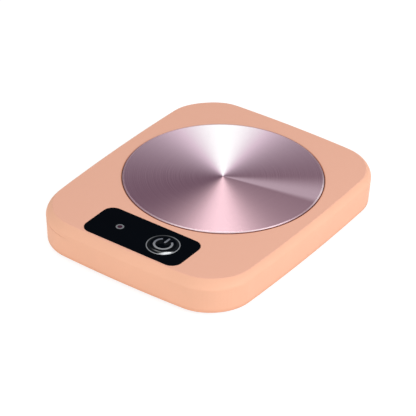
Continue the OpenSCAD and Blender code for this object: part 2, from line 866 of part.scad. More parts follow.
module cap_disc() {
    run = cap_r - cap_top_d / 2;
    rotate_extrude() polygon(concat(
        [[0, z_cap_under], [cap_r, z_cap_under]],
        [for (i = [0 : cap_steps]) let (a = 90 * i / cap_steps)
            [cap_r - run * (1 - cos(a)), z_top + cap_proud * sin(a)]],
        [[0, z_cap_top]]
    ));
}

module power_button() {
    color("#0B0D12") at_button() difference() {
        union() {
            cap_disc();
            tube(stem_r, stem_r - stem_wall, z_hook_under, z_cap_under + cut / 2);
            tube(stem_r + hook_reach, stem_r - stem_wall, z_hook_under, z_hook_top);
            disc(post_r, z_plunger_top, z_cap_under + cut / 2);
        }
        box(2 * cap_d, slot_w, z_hook_under - cut, z_guide_under + 1);
        difference() {
            box(slot_w, 2 * cap_d, z_hook_under - cut, z_hook_top);
            disc(stem_r - stem_wall, z_hook_under - 2 * cut, z_hook_top + cut);
        }
        symbol_shape(z_cap_top - symbol_depth, z_cap_top + cut);
    }
}

module power_symbol() {
    color("#8D9098") at_button() symbol_shape(z_cap_top - symbol_depth, z_cap_top);
}

module switch_plunger() {
    color("#1B1C20") at_button() disc(plunger_r, z_switch_top - plunger_in, z_plunger_top);
}

module push_switch() {
    color("#4A4C52") at_button() difference() {
        box(switch_w, switch_w, z_board, z_switch_top);
        disc(plunger_r + plunger_play, z_switch_top - plunger_in - press_travel
            - press_clearance, z_switch_top + cut);
    }
}

module indicator_bezel() {
    color("#7C7E82") at_led()
        tube(lens_bezel_r, lens_r + lens_play, z_web, z_top + bezel_proud);
}

module indicator_lens() {
    color("#3C1A28") at_led() disc(lens_r, z_led_top, z_top);
}

module indicator_led() {
    color("#D86A5A") at_led() {
        disc(led_r, z_board + led_spacer_h, z_led_top);
        disc(led_flange_r, z_board + led_spacer_h, z_board + led_spacer_h + led_flange_h);
    }
}

module led_spacer() {
    color("#E6E4DC") at_led() disc(led_flange_r, z_board, z_board + led_spacer_h);
}

// ---- circuit board ----

module control_board() {
    color("#1F5B38") difference() {
        translate([panel_x, panel_y, 0]) box(board_w, board_d, z_board_under, z_board);
        at_board_screws() disc(board_hole_r, z_board_under - cut, z_board + cut);
    }
}

module board_screws() {
    color("#8E9196") at_board_screws() difference() {
        union() {
            disc(board_head_r, z_board_under - board_head_h, z_board_under);
            disc(board_shank_r, z_board_under, z_board + board_shank_l);
        }
        driver_cross(z_board_under - board_head_h);
    }
}

module control_chip() {
    color("#15171A") at_board(chip_place)
        box(chip_w, chip_w, z_board, z_board + chip_h);
}

module power_transistor() {
    color("#1D1F22") at_board(transistor_place)
        box(transistor_size[0], transistor_size[1], z_board, z_board + transistor_size[2]);
}

module smoothing_capacitor() {
    color("#2C3E66") at_board(capacitor_place)
        disc(capacitor_r, z_board, z_board + capacitor_h);
}

module board_resistors() {
    color("#2A2D33") for (i = [0 : resistor_count - 1])
        at_board(resistor_place + [i * resistor_pitch, 0])
            box(resistor_size[0], resistor_size[1], z_board, z_board + resistor_size[2]);
}

module connector(x, w) {
    color("#EFECE2") translate([x, connector_y, 0])
        box(w, connector_d, z_board, z_board + connector_h);
}

module power_connector() {
    connector(power_connector_x, power_connector_w);
}

module heater_connector() {
    connector(heater_connector_x, heater_connector_w);
}

module sensor_connector() {
    connector(sensor_connector_x, sensor_connector_w);
}

// ---- power inlet ----

module pin_shape() {
    rod_y(pin_r, y_socket_end, y_nose - pin_setback - pin_tip);
    translate([0, y_nose - pin_setback - pin_tip, 0]) rotate([-90, 0, 0])
        cylinder(r1 = pin_r, r2 = pin_r - pin_tip, h = pin_tip);
    rod_y(pin_root_r, y_socket_end - pin_root_l, y_socket_end);
    translate([-tag_w / 2, y_inlet_back - tag_l, -tag_t / 2])
        cube([tag_w, y_socket_end - pin_root_l - y_inlet_back + tag_l, tag_t]);
}

module leaf_shape() {
    translate([-leaf_w / 2, y_inlet_back - tag_l, socket_r - leaf_dip])
        cube([leaf_w, y_nose - leaf_front - y_inlet_back + tag_l, leaf_t]);
}

module power_inlet() {
    color("#16171A") at_inlet() difference() {
        union() {
            translate([-inlet_w / 2, y_inlet_back, -inlet_h / 2])
                cube([inlet_w, inlet_l, inlet_h]);
            rod_y(nose_d / 2, y_inlet_front - cut, y_nose);
        }
        rod_y(socket_r, y_socket_end, y_nose + cut);
        pin_shape();
        leaf_shape();
    }
}

module inlet_pin() {
    color("#C9CBCE") at_inlet() pin_shape();
}

module inlet_contact() {
    color("#C9CBCE") at_inlet() leaf_shape();
}

// ---- leads ----

module power_lead() {
    color("#1A1A1C") lead(power_route, power_lead_r, 3);
}

module heater_leads() {
    color("#C23B2E") {
        lead(heater_route_a, heater_lead_r, 2);
        lead(heater_route_b, heater_lead_r, 2);
        lead(heater_route_c, heater_lead_r, 2);
    }
}

module sensor_lead() {
    color("#ECEAE4") lead(sensor_route, sensor_lead_r, 3);
}

top_housing();
bottom_housing();
housing_screws();
rubber_feet();
rating_label();
hot_plate();
plate_studs();
plate_gasket();
heating_element();
insulation_pad();
clamp_plate();
plate_washers();
plate_nuts();
temperature_sensor();
sensor_bracket();
thermal_cutout();
cutout_clip();
strap_rivets();
control_panel();
panel_adhesive();
button_bezel();
power_button();
power_symbol();
switch_plunger();
push_switch();
indicator_bezel();
indicator_lens();
indicator_led();
led_spacer();
control_board();
board_screws();
control_chip();
power_transistor();
smoothing_capacitor();
board_resistors();
power_connector();
heater_connector();
sensor_connector();
power_inlet();
inlet_pin();
inlet_contact();
power_lead();
heater_leads();
sensor_lead();
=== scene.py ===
import json
import math

import bmesh
import bpy
import numpy as np
from mathutils import Matrix, Vector


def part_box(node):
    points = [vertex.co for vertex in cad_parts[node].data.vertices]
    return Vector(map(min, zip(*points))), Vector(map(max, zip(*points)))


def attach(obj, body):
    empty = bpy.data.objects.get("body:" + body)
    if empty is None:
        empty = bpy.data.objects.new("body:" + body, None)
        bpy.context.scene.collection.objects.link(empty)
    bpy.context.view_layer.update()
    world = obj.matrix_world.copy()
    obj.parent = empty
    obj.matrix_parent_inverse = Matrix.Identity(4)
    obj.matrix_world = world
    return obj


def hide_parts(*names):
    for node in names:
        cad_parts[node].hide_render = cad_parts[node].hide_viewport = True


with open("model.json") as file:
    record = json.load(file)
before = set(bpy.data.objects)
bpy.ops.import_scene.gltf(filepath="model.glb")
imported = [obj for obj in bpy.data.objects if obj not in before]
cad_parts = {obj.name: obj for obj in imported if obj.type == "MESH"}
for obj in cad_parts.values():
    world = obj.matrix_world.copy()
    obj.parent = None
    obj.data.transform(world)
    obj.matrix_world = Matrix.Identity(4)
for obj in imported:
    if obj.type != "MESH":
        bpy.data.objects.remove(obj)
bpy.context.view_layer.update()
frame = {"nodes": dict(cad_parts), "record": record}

MM = 0.001
NODES = frame["nodes"]

# ---- places and sizes, read from the frame ----


def middle(node):
    """The middle of a node's box."""
    low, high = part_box(node)
    return (low + high) / 2


def radius(node):
    """Half the width of a node's box."""
    low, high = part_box(node)
    return (high.x - low.x) / 2


PLATE, PLATE_R = middle("hot_plate"), radius("hot_plate")
BUTTON, CAP_R = middle("power_button"), radius("power_button")
HALF_W, HALF_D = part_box("bottom_housing")[1].xy
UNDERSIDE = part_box("bottom_housing")[0].z
TOP_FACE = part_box("top_housing")[1].z
SEAM_LOW, SEAM_HIGH = 11.9 * MM, 12.1 * MM  # the parting line's two edges, in the solids
PLATE_BEVEL = 0.95 * MM  # width of the bevel round the hot plate's top
OPENING_R = PLATE_R + 0.4 * MM  # of the top housing's opening round the hot plate
CLOSE = 0.01 * MM  # what lies nearer than this counts as level or in line
WELD = 0.001 * MM  # points nearer than this are one

# ---- a small kit for node materials ----


class Finish:
    """A material: one Principled shader and the nodes that feed it, in object coordinates."""

    def __init__(self, name, colour, roughness, **sockets):
        self.material = bpy.data.materials.new(name)
        self.material.use_nodes = True
        self.tree = self.material.node_tree
        self.shader = self.tree.nodes["Principled BSDF"]
        self.place = self.add("ShaderNodeTexCoord").outputs["Object"]
        self.set("Base Color", (*colour, 1))
        self.set("Roughness", roughness)
        for socket, value in sockets.items():
            self.set(socket.replace("_", " "), value)

    def add(self, kind, **settings):
        """A new node with those settings."""
        node = self.tree.nodes.new(kind)
        for key, value in settings.items():
            setattr(node, key, value)
        return node

    def link(self, source, target):
        self.tree.links.new(source, target)

    def set(self, socket, value):
        """Gives one of the shader's sockets a plain value."""
        self.shader.inputs[socket].default_value = value

    def feed(self, socket, source):
        """Links a source to one of the shader's sockets."""
        self.link(source, self.shader.inputs[socket])

    def math(self, operation, a, b=None, c=None, clamp=False):
        """A sum of up to three inputs, each a number or a socket."""
        node = self.add("ShaderNodeMath", operation=operation, use_clamp=clamp)
        for socket, value in zip(node.inputs, (a, b, c)):
            if isinstance(value, (int, float)):
                socket.default_value = value
            elif value is not None:
                self.link(value, socket)
        return node.outputs[0]

    def vector_math(self, operation, a, b=None):
        """A node that works on one or two vectors, each given as such or by a socket."""
        node = self.add("ShaderNodeVectorMath", operation=operation)
        for socket, value in zip(node.inputs, (a, b)):
            if isinstance(value, (tuple, Vector)):
                socket.default_value = value
            elif value is not None:
                self.link(value, socket)
        return node

    def spread(self, value, low, high, to_low=0.0, to_high=1.0, smooth=False):
        """Carries a value from one range to another, and holds it at the ends."""
        node = self.add("ShaderNodeMapRange", clamp=True)
        if smooth:
            node.interpolation_type = "SMOOTHSTEP"
        self.link(value, node.inputs[0])
        for socket, number in zip(node.inputs[1:5], (low, high, to_low, to_high)):
            socket.default_value = number
        return node.outputs[0]

    def noise(self, size, detail=2.0, stretch=(1, 1, 1)):
        """Noise from 0 to 1 whose features are about that many millimetres across."""
        scaled = self.add("ShaderNodeMapping")
        scaled.inputs["Scale"].default_value = [s / (size * MM) for s in stretch]
        self.link(self.place, scaled.inputs["Vector"])
        node = self.add("ShaderNodeTexNoise")
        node.inputs["Scale"].default_value = 1.0
        node.inputs["Detail"].default_value = detail
        self.link(scaled.outputs[0], node.inputs["Vector"])
        return node.outputs["Fac"]

    def varied(self, noise, low=0.0, high=1.0):
        """Noise carried to a range; most of it lies between 0.3 and 0.7 before that."""
        return self.spread(noise, 0.3, 0.7, low, high)

    def mix(self, amount, a, b):
        """A colour between a and b."""
        node = self.add("ShaderNodeMix", data_type="RGBA")
        for socket, value in zip((node.inputs[0], node.inputs[6], node.inputs[7]), (amount, a, b)):
            if isinstance(value, (int, float)):
                socket.default_value = value
            elif isinstance(value, tuple):
                socket.default_value = (*value, 1)
            else:
                self.link(value, socket)
        return node.outputs[2]

    def bump(self, height, depth, strength):
        """Relief of that depth in millimetres."""
        node = self.add("ShaderNodeBump")
        node.inputs["Strength"].default_value = strength
        node.inputs["Distance"].default_value = depth * MM
        self.link(height, node.inputs["Height"])
        self.feed("Normal", node.outputs[0])

    def offset_from(self, centre):
        """The level offset from an upright line through a point."""
        offset = self.vector_math("SUBTRACT", self.place, centre).outputs[0]
        return self.vector_math("MULTIPLY", offset, (1, 1, 0)).outputs[0]

    def round(self, centre):
        """The distance from an upright line through a point, and the direction away from it."""
        flat = self.offset_from(centre)
        outward = self.vector_math("NORMALIZE", flat).outputs[0]
        return self.vector_math("LENGTH", flat).outputs["Value"], outward

    def fan(self, outward, middle, width):
        """1 in the middle of a fan of light, and fading over that width to either side.

        Both are degrees in plan: 0 is the right side, 90 the rear and 270 the front.
        """
        turn = math.radians(middle)
        towards = self.vector_math("DOT_PRODUCT", outward, (math.cos(turn), math.sin(turn), 0))
        share = 2 / math.radians(width) ** 2
        power = self.math("MULTIPLY_ADD", towards.outputs["Value"], share, -share)
        return self.math("EXPONENT", power)

    def fans(self, outward, lobes):
        """The sum of fans of light, each given by its middle, its width and its level."""
        total = 0.0
        for middle, width, level in lobes:
            total = self.math("MULTIPLY_ADD", self.fan(outward, middle, width), level, total)
        return total

    def parts(self, vector):
        """A vector's x, y and z."""
        node = self.add("ShaderNodeSeparateXYZ")
        self.link(vector, node.inputs[0])
        return node.outputs


def linear(red, green, blue):
    """A screen colour, 0 to 255, as the shader's linear colour."""
    def channel(value):
        value /= 255
        return value / 12.92 if value <= 0.04045 else ((value + 0.055) / 1.055) ** 2.4
    return tuple(channel(v) for v in (red, green, blue))


def shade(colour, factor):
    """A colour made lighter or darker."""
    return tuple(c * factor for c in colour)


def tinted(colour, factors):
    """A colour with each of its channels made lighter or darker."""
    return tuple(c * factor for c, factor in zip(colour, factors))


# ---- finishes ----

PEACH = linear(240, 184, 155)
BLACK = linear(5, 8, 14)
# painted light and shade, as fans where the studio's light would fall on the object: middle and
# width in degrees, and level
PLATE_BACK_PAINTED_LIGHT = ((123.6, 31.1, 0.9), (169, 40, 0.144), (73.5, 30, 0.093))
PLATE_FRONT_PAINTED_LIGHT = ((302.9, 22.9, 0.79), (338.5, 50, 0.185), (270.5, 15, 0.044))
PLATE_RIM_PAINTED_LIGHT = ((304, 38, 1.0), (20, 14, 1.0))
PAINTED_SHADE_FANS = ((42, 38, 1.0), (215, 34, 0.8))  # and the shade round the plate's opening
FAR_SIDE, NEAR_SIDE = 125, 305  # directions in plan, away from the camera and towards it


def soft_touch_plastic():
    """Peach paint with a fine moulded grain; painted shade makes it a little deeper towards the foot
    of the walls, a painted sheen makes the top face a little pinker, and painted light and shade lie
    round the hot plate's opening.
    """
    f = Finish("soft_touch_peach", PEACH, 0.55, Specular_IOR_Level=0.2)
    height = f.parts(f.place)[2]
    foot = f.spread(height, 1.5 * MM, 4 * MM, 1.0, 0.0, smooth=True)
    top = f.spread(height, TOP_FACE - 0.3 * MM, TOP_FACE)
    cloud = f.noise(22, detail=3)
    tone = f.mix(f.varied(cloud), shade(PEACH, 0.98), shade(PEACH, 1.02))
    # painted sheen: the top face tinted a little pinker
    tone = f.mix(top, tone, tinted(PEACH, (1.0, 0.97, 1.03)))
    # painted shade: the walls a little deeper towards their foot
    tone = f.mix(foot, tone, tinted(PEACH, (0.93, 0.84, 0.80)))
    # painted light and shade on the wall of the hot plate's opening, and a narrow ring of painted
    # shade beside the raised plate
    r, outward = f.round(PLATE)
    high = f.spread(height, TOP_FACE - 3 * MM, TOP_FACE - 2 * MM)
    inside = f.spread(r, OPENING_R + 0.02 * MM, OPENING_R + 0.1 * MM, 1.0, 0.0)
    wall = f.math("MULTIPLY", inside, high)
    width = f.spread(f.fan(outward, FAR_SIDE, 60), 0, 1, 0.15 * MM, 0.75 * MM)
    past = f.math("SUBTRACT", r, width)
    beside = f.spread(past, OPENING_R - 0.2 * MM, OPENING_R + 0.2 * MM, 1.0, 0.0)
    ring = f.math("MULTIPLY", beside, high)
    shaded = f.fans(outward, PAINTED_SHADE_FANS)
    shade_ring = f.math("MULTIPLY", ring, shaded, clamp=True)
    # painted shade: a narrow ring on the top face beside the raised plate
    tone = f.mix(shade_ring, tone, tinted(PEACH, (0.62, 0.42, 0.35)))
    # painted light and shade on the wall of the opening
    painted_wall_light_and_shade = f.mix(shaded, tinted(PEACH, (1.15, 1.05, 1.0)), tinted(PEACH, (0.62, 0.4, 0.32)))
    f.feed("Base Color", f.mix(wall, tone, painted_wall_light_and_shade))
    f.feed("Roughness", f.varied(f.noise(3, detail=4), 0.52, 0.62))
    f.bump(f.noise(0.28), 0.02, 0.5)
    return f.material


def spun_metal():
    """Rose anodised aluminium, spun: fine rings, and fans of painted light that meet at its centre.
    """
    dark, lilac, rose = linear(102, 71, 88), linear(214, 188, 204), linear(250, 208, 218)
    f = Finish("spun_rose_metal", dark, 0.3, Metallic=1.0, Anisotropic=0.9)
    spin = PLATE + Vector((-0.2, 0, 0)) * MM  # the rings run a little off the disc's centre
    r, outward = f.round(spin)
    ring_noise = f.add("ShaderNodeTexNoise", noise_dimensions="1D")
    ring_noise.inputs["Scale"].default_value = 1 / (0.35 * MM)
    ring_noise.inputs["Detail"].default_value = 4
    f.link(r, ring_noise.inputs["W"])
    rings = ring_noise.outputs["Fac"]
    streak = f.varied(rings, -0.02, 0.02)
    # painted highlights: the far fans run from dark over lilac to white, and the near ones to rose
    tones = f.add("ShaderNodeValToRGB")
    stops = tones.color_ramp.elements
    stops.new(0.5)
    for stop, place, tone in zip(stops, (0.0, 0.5, 1.0), (dark, lilac, (1, 1, 1))):
        stop.position = place
        stop.color = (*tone, 1)
    f.link(f.math("ADD", f.fans(outward, PLATE_BACK_PAINTED_LIGHT), streak), tones.inputs[0])
    front = f.math("ADD", f.fans(outward, PLATE_FRONT_PAINTED_LIGHT), streak, clamp=True)
    colour = f.mix(front, tones.outputs[0], rose)
    # the paler wedge to the right, a painted highlight, with one sharp side and one soft side
    x, y, _ = f.parts(outward)
    turn = f.math("ARCTAN2", y, x)
    sharp = f.spread(turn, math.radians(7.4), math.radians(14), smooth=True)
    soft = f.spread(turn, math.radians(17.5), math.radians(39), 1.0, 0.0, smooth=True)
    painted_side_light = f.math("MULTIPLY", f.math("MULTIPLY", sharp, soft), 0.62)
    colour = f.mix(painted_side_light, colour, linear(200, 174, 187))
    # the bevelled rim, a paler cut edge with painted highlights, and the plate's edge below it, with
    # a painted reflection of the housing
    to_edge, _ = f.round(PLATE)
    bevel = f.spread(to_edge, PLATE_R - 0.8 * MM, PLATE_R - 0.5 * MM, smooth=True)
    fading = f.spread(to_edge, PLATE_R - 0.3 * MM, PLATE_R, 1.0, 0.75)
    # painted highlights along the rim
    rim_light = f.math("MULTIPLY", f.fans(outward, PLATE_RIM_PAINTED_LIGHT), fading)
    rim = f.mix(rim_light, linear(166, 136, 148), linear(250, 232, 238))
    # painted reflection of the housing on the plate's edge below the top face
    under = f.spread(f.parts(f.place)[2], TOP_FACE - 0.1 * MM, TOP_FACE, 1.0, 0.0)
    rim = f.mix(under, rim, linear(215, 165, 145))
    f.feed("Base Color", f.mix(bevel, colour, rim))
    grain = f.varied(rings, 0.19, 0.25)
    f.feed("Roughness", f.math("MULTIPLY_ADD", bevel, 0.4, grain))  # duller on the rim
    f.bump(rings, 0.004, 0.3)
    f.feed("Tangent", outward)
    return f.material


def gloss_black():
    """Black acrylic, smooth, with the faintest waviness and uneven gloss."""
    f = Finish("panel_black", BLACK, 0.12, Specular_IOR_Level=0.003)
    f.feed("Roughness", f.varied(f.noise(4, detail=3), 0.10, 0.18))
    f.feed("Base Color", f.mix(f.noise(14), shade(BLACK, 0.8), shade(BLACK, 1.2)))
    f.bump(f.noise(2.5), 0.01, 0.2)
    return f.material


def cap_black():
    """The button's cap: black like the panel, with a painted crescent of light along its near edge.
    """
    f = Finish("cap_black", BLACK, 0.3, Specular_IOR_Level=0.003)
    r, outward = f.round(BUTTON)
    flat_r = CAP_R - 0.9 * MM  # where the cap's flat top ends
    flat_top = f.mix(f.noise(5), shade(BLACK, 0.8), shade(BLACK, 1.2))
    edge = f.spread(r, flat_r - 0.4 * MM, flat_r, smooth=True)
    black = f.mix(edge, flat_top, linear(22, 24, 28))
    # the painted highlight: a crescent, widest in the middle of its fan, and a fainter painted
    # streak to its left
    near = f.fan(outward, 316, 28)
    start = f.spread(near, 0, 1, CAP_R, flat_r)
    past = f.math("SUBTRACT", r, start)
    crescent = f.math("MULTIPLY", f.spread(past, 0, 0.5 * MM), f.spread(near, 0.2, 1.0))
    off = f.math("ABSOLUTE", f.math("SUBTRACT", r, flat_r - 0.05 * MM))
    streak = f.math("MULTIPLY", f.spread(off, 0.35 * MM, 0), f.fan(outward, 280, 17))
    light = f.math("MAXIMUM", crescent, f.math("MULTIPLY", streak, 0.28))
    f.feed("Base Color", f.mix(light, black, linear(245, 248, 250)))
    f.feed("Metallic", light)
    f.feed("Roughness", f.varied(f.noise(1), 0.22, 0.32))
    f.bump(f.noise(1.5), 0.005, 0.2)
    return f.material


def symbol_grey():
    """The button's symbol: a milky inlay, with painted light that makes it a little brighter towards
    the cap's near edge.
    """
    far, near = linear(110, 113, 122), linear(152, 154, 158)
    f = Finish("symbol_grey", near, 0.35, Specular_IOR_Level=0.02)
    turn = math.radians(NEAR_SIDE)
    near_way = (math.cos(turn), math.sin(turn), 0)
    along = f.vector_math("DOT_PRODUCT", f.offset_from(BUTTON), near_way)
    # painted light: brighter towards the cap's near edge
    tone = f.mix(f.spread(along.outputs["Value"], -3 * MM, 4 * MM), far, near)
    cloud = f.mix(f.noise(2, detail=3), (0.92, 0.92, 0.92), (1.06, 1.06, 1.06))
    f.feed("Base Color", f.vector_math("MULTIPLY", tone, cloud).outputs[0])
    f.feed("Roughness", f.varied(f.noise(1.2), 0.3, 0.42))
    f.bump(f.noise(0.4), 0.01, 0.4)
    return f.material


def button_ring():
    """The button's plated ring, with a painted reflection that leaves it dull at its far side and
    bright at its near side.
    """
    far, plain, near = linear(64, 66, 70), linear(122, 124, 128), linear(206, 210, 214)
    f = Finish("button_ring", plain, 0.2, Metallic=1.0)
    _, outward = f.round(BUTTON)
    # painted reflection: duller towards the far side, brighter towards the near side
    tone = f.mix(f.fan(outward, 133, 45), plain, far)
    tone = f.mix(f.fan(outward, 313, 36), tone, near)
    worn = f.mix(f.varied(f.noise(2, detail=3)), (0.9, 0.9, 0.9), (1.05, 1.05, 1.05))
    f.feed("Base Color", f.vector_math("MULTIPLY", tone, worn).outputs[0])
    f.feed("Roughness", f.varied(f.noise(0.6, detail=3), 0.15, 0.27))
    return f.material


def bright_metal(name, colour, roughness=0.16, size=0.6):
    """Plated metal: faint stains and fine wear in its gloss."""
    f = Finish(name, colour, roughness, Metallic=1.0)
    stain, wear = f.noise(size * 6, detail=3), f.noise(size, detail=3)
    f.feed("Base Color", f.mix(stain, shade(colour, 0.88), shade(colour, 1.08)))
    f.feed("Roughness", f.varied(wear, roughness - 0.05, roughness + 0.07))
    f.bump(f.noise(size * 0.5), 0.01, 0.3)
    return f.material


def moulded(name, colour, roughness=0.5, size=0.4, depth=0.02, **sockets):
    """Moulded plastic or rubber: slight tone and grain of the given size."""
    f = Finish(name, colour, roughness, **sockets)
    cloud, gloss = f.noise(size * 8, detail=3), f.noise(size * 3)
    f.feed("Base Color", f.mix(cloud, shade(colour, 0.9), shade(colour, 1.08)))
    f.feed("Roughness", f.varied(gloss, roughness - 0.06, roughness + 0.06))
    f.bump(f.noise(size), depth, 0.6)
    return f.material


def felt(name, colour):
    """Pressed fibre: tangled strands in two directions."""
    f = Finish(name, colour, 0.95, Specular_IOR_Level=0.1, Sheen_Weight=0.3)
    along = f.noise(0.5, detail=4, stretch=(0.15, 1, 1))
    across = f.noise(0.5, detail=4, stretch=(1, 0.15, 1))
    strands = f.math("MAXIMUM", along, across)
    f.feed("Base Color", f.mix(f.spread(strands, 0.4, 0.75), shade(colour, 0.82), colour))
    f.bump(strands, 0.12, 0.8)
    return f.material


def heater_film():
    """Amber film over an etched foil, which runs in rings round the plate's middle."""
    f = Finish("heater_film", linear(186, 120, 60), 0.35, Specular_IOR_Level=0.5)
    r, _ = f.round(PLATE)
    pitch = 2.4 * MM
    wave = f.math("PINGPONG", r, pitch / 2)
    track = f.spread(wave, 0.24 * pitch, 0.28 * pitch)
    foil = f.mix(f.noise(2, detail=3), linear(176, 96, 52), linear(196, 116, 68))
    film = f.mix(f.noise(6, detail=3), linear(196, 134, 66), linear(206, 146, 78))
    f.feed("Base Color", f.mix(track, film, foil))
    f.bump(track, 0.03, 0.5)
    f.feed("Roughness", f.varied(f.noise(1.2, detail=3), 0.28, 0.42))
    return f.material


def circuit_board():
    """Green solder mask over copper tracks, which show as slightly raised, paler lines."""
    mask, track = linear(28, 92, 56), linear(48, 122, 76)
    f = Finish("board_green", mask, 0.3, Specular_IOR_Level=0.5)
    y = f.parts(f.place)[1]
    bent = f.math("MULTIPLY_ADD", f.noise(9, detail=0), 3 * MM, y)
    wave = f.math("PINGPONG", bent, 0.9 * MM)
    lines = f.spread(wave, 0.6 * MM, 0.66 * MM)
    routed = f.spread(f.noise(7, detail=1, stretch=(0.4, 1, 1)), 0.46, 0.5)
    shown = f.math("MULTIPLY", lines, routed)
    f.feed("Base Color", f.mix(shown, mask, track))
    f.bump(shown, 0.03, 0.6)
    f.feed("Roughness", f.varied(f.noise(1.5), 0.24, 0.36))
    return f.material


def blank_label():
    """Matt silver film, drawn in one direction, with nothing printed on it."""
    f = Finish("label_foil", linear(196, 198, 202), 0.45, Metallic=0.6)
    drawn = f.noise(0.3, detail=3, stretch=(0.04, 1, 1))
    f.feed("Base Color", f.mix(drawn, linear(184, 186, 190), linear(208, 210, 213)))
    f.feed("Roughness", f.varied(drawn, 0.38, 0.52))
    f.bump(drawn, 0.01, 0.3)
    return f.material


def jacket(name, colour, roughness=0.55):
    """A lead's insulation: smooth, with faint rings from its drawing."""
    f = Finish(name, colour, roughness, Specular_IOR_Level=0.4)
    cloud, gloss = f.noise(4), f.noise(1)
    f.feed("Base Color", f.mix(cloud, shade(colour, 0.9), shade(colour, 1.08)))
    f.feed("Roughness", f.varied(gloss, roughness - 0.08, roughness + 0.08))
    f.bump(f.noise(0.6), 0.02, 0.4)
    return f.material


SLOTS = {
    "housing_plastic": soft_touch_plastic(),
    "spun_metal": spun_metal(),
    "chrome": bright_metal("dark_chrome", linear(112, 114, 118)),
    "panel_black": gloss_black(),
    "cap_black": cap_black(),
    "symbol_grey": symbol_grey(),
    "lens_wine": moulded("lens_wine", linear(62, 26, 46), 0.2, Specular_IOR_Level=0.02),
    "led_red": moulded("led_red", linear(204, 74, 62), 0.2),
    "black_plastic": moulded("black_plastic", linear(38, 38, 40), 0.45),
    "white_plastic": moulded("white_plastic", linear(230, 226, 216), 0.45),
    # the gasket seen in the hot plate's gap: red-brown silicone, its colour darkened as painted
    # shade for the gap
    "silicone": moulded("silicone", linear(140, 88, 66), 0.6, size=0.3),
    "foot_rubber": moulded("foot_rubber", linear(44, 44, 46), 0.8, size=0.5, depth=0.05),
    "steel": bright_metal("zinc_steel", linear(186, 188, 192), 0.35),
    "heater_film": heater_film(),
    "insulation": felt("insulation", linear(235, 230, 220)),
    "board_green": circuit_board(),
    "component_black": moulded("component_black", linear(30, 31, 33), 0.6, size=0.15),
    "capacitor_sleeve": moulded("capacitor_sleeve", linear(38, 56, 98), 0.3, size=0.8),
    "adhesive": moulded("adhesive", linear(214, 210, 196), 0.7, size=0.6),
    "label_foil": blank_label(),
    "ceramic": moulded("ceramic", linear(214, 208, 198), 0.7, size=0.25),
    "lead_black": jacket("lead_black", linear(34, 34, 36)),
    "lead_red": jacket("lead_red", linear(184, 56, 46), 0.5),
    "lead_white": jacket("lead_white", linear(228, 226, 218)),
}

for part in frame["record"]["subparts"]:
    for slot in NODES[part["node"]].material_slots:
        slot.material = SLOTS[part["material_slot"]]
for slot in NODES["button_bezel"].material_slots:
    slot.material = button_ring()

# ---- pieces made on a mesh, in place of a node ----


def welded(node):
    """A copy of a node's mesh to work on, with its points joined."""
    mesh = bmesh.new()
    mesh.from_mesh(NODES[node].data)
    bmesh.ops.remove_doubles(mesh, verts=mesh.verts, dist=WELD)
    return mesh


def smooth_piece(name, data, slot, sharp):
    """A piece with that mesh and finish, smooth except over edges of more degrees than sharp."""
    data.shade_smooth()
    data.set_sharp_from_angle(angle=math.radians(sharp))
    data.materials.clear()
    data.materials.append(SLOTS[slot])
    piece = bpy.data.objects.new(name, data)
    bpy.context.scene.collection.objects.link(piece)
    return piece


# ---- the housings, with bowed sides, a slight draft, and a parting line that nearly closes ----

CAD_CORNER = 24 * MM  # corner radius of the solids' outline
CAD_EDGE = 2.6 * MM  # radius of the solids' top edge
CORNER = 20.2 * MM  # corner radius of the bowed outline, before it is bowed
BOW = 2.1 * MM  # how far the corners draw in from straight sides
BAND = 3 * MM  # depth of wall that follows the outline
FADE = 1 * MM  # beyond which it stops doing so over this depth
CUT_EVERY = 4 * MM  # spacing of the cuts that let a straight wall bend
# how far in from the outline the top edge breaks: at the rear and left, and more to the right
# and at the front
REAR_EDGE, SIDE_EDGE, FRONT_EDGE = 1.6 * MM, 2.6 * MM, 3.9 * MM
EDGE_DROP = 3.8 * MM  # height of the curve that rolls over from there to the wall
EDGE_SLOPE = math.tan(math.radians(30))  # how steeply it starts
TOP_BAND = 4.8 * MM  # depth at which the top face is as in the solids again
# the rear left corner draws in a little more, most at this turn from the side towards the rear
MORE_BOW, MORE_AT, MORE_WIDE = 1.05 * MM, math.radians(45), math.radians(45)
DRAFT = 0.6 * MM  # how far the walls lean in at the underside
DRAFT_FROM = 13 * MM  # height at which they start to
OPEN_CORNER = Vector((-53, -50, 0)) * MM  # the parting line gapes a little round here
OPEN_REACH, OPEN_SHARE = 30 * MM, 0.4  # and closes between this share of the reach and all of it
CLOSED_GAP, OPEN_GAP = 0.02 * MM, 0.4 * MM
SEAM_RISE = 1.6 * MM  # how far the line rises at that corner
RIM_BEVEL = 0.25 * MM  # along the edge of the control panel's opening
CURVE_POINTS = 60  # along each side and corner of the bowed outline
ON_ROUND = 0.15 * MM  # a point this near to the solids' round top edge belongs to it
ON_SEAM = 0.02 * MM  # and so for the parting line's edges


def bowed_quarter():
    """Points of the outline's quarter between the middles of the right and the rear side."""
    inner_x, inner_y = HALF_W - CORNER, HALF_D - CORNER
    turn = np.linspace(0, math.pi / 2, CURVE_POINTS)
    x = np.concatenate([np.full(CURVE_POINTS, HALF_W), inner_x + CORNER * np.cos(turn),
                        np.linspace(inner_x, 0, CURVE_POINTS)])
    y = np.concatenate([np.linspace(0, inner_y, CURVE_POINTS), inner_y + CORNER * np.sin(turn),
                        np.full(CURVE_POINTS, HALF_D)])
    bowed_x = x - BOW * (y / HALF_D) ** 2 * x / HALF_W
    bowed_y = y - BOW * (x / HALF_W) ** 2 * y / HALF_D
    return bowed_x, bowed_y


